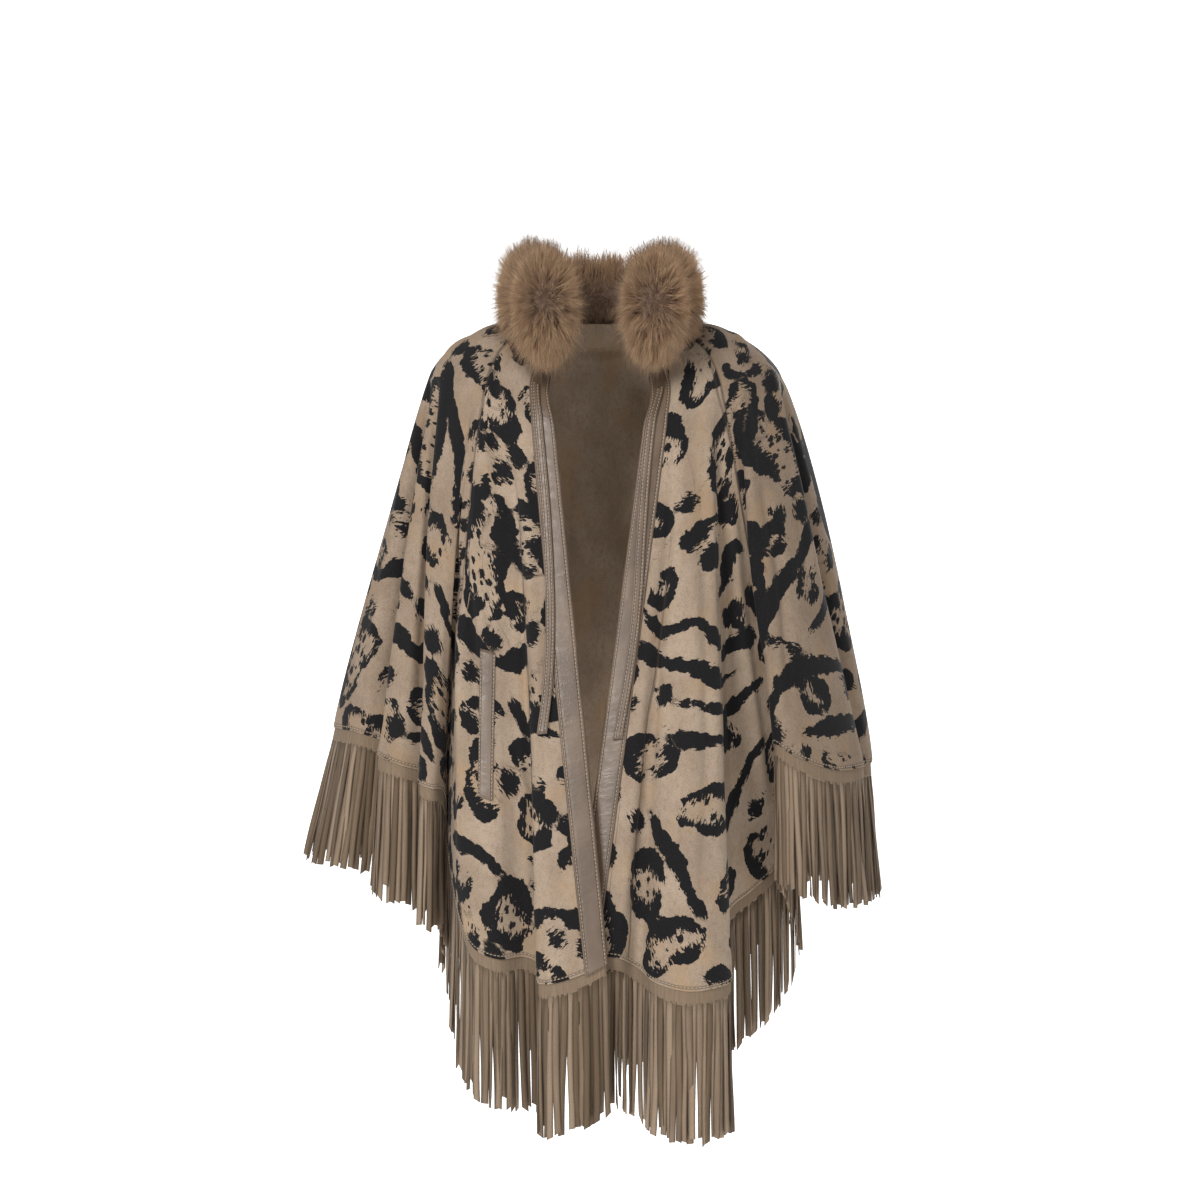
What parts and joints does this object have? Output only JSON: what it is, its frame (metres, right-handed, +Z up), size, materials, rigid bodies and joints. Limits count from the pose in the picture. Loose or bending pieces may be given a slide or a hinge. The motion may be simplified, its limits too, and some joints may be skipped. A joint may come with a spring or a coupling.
{
  "type": "fringed cape",
  "caption": "Open-front printed suede cape with a fur collar, leather edge bands, hanging ties, a welt pocket and a long cut fringe round the hem.",
  "frame": {"origin": "midway between the wearer's shoulders, at the height where the shoulders carry the cape", "axes": "+Z up, -Y towards the front, +X towards the wearer's left"},
  "size_m": [0.6404, 0.4759, 0.9713],
  "materials": {
    "printed_suede": "matte suede with a black brushed print",
    "fringe_suede": "matte suede, cut into strands",
    "band_leather": "smooth, soft sheen",
    "fur": "long soft fur with darker tips"
  },
  "bodies": {
    "root": {"front_right": "printed_suede", "side_right": "printed_suede", "back": "printed_suede", "side_left": "printed_suede", "front_left": "printed_suede", "fringe_front_right": "fringe_suede", "fringe_side_right": "fringe_suede", "fringe_back": "fringe_suede", "fringe_side_left": "fringe_suede", "fringe_front_left": "fringe_suede", "front_band_right": "band_leather", "front_band_left": "band_leather", "tie_right": "band_leather", "tie_left": "band_leather", "pocket_welt": "band_leather", "fur_collar": "fur"}
  },
  "joints": []
}
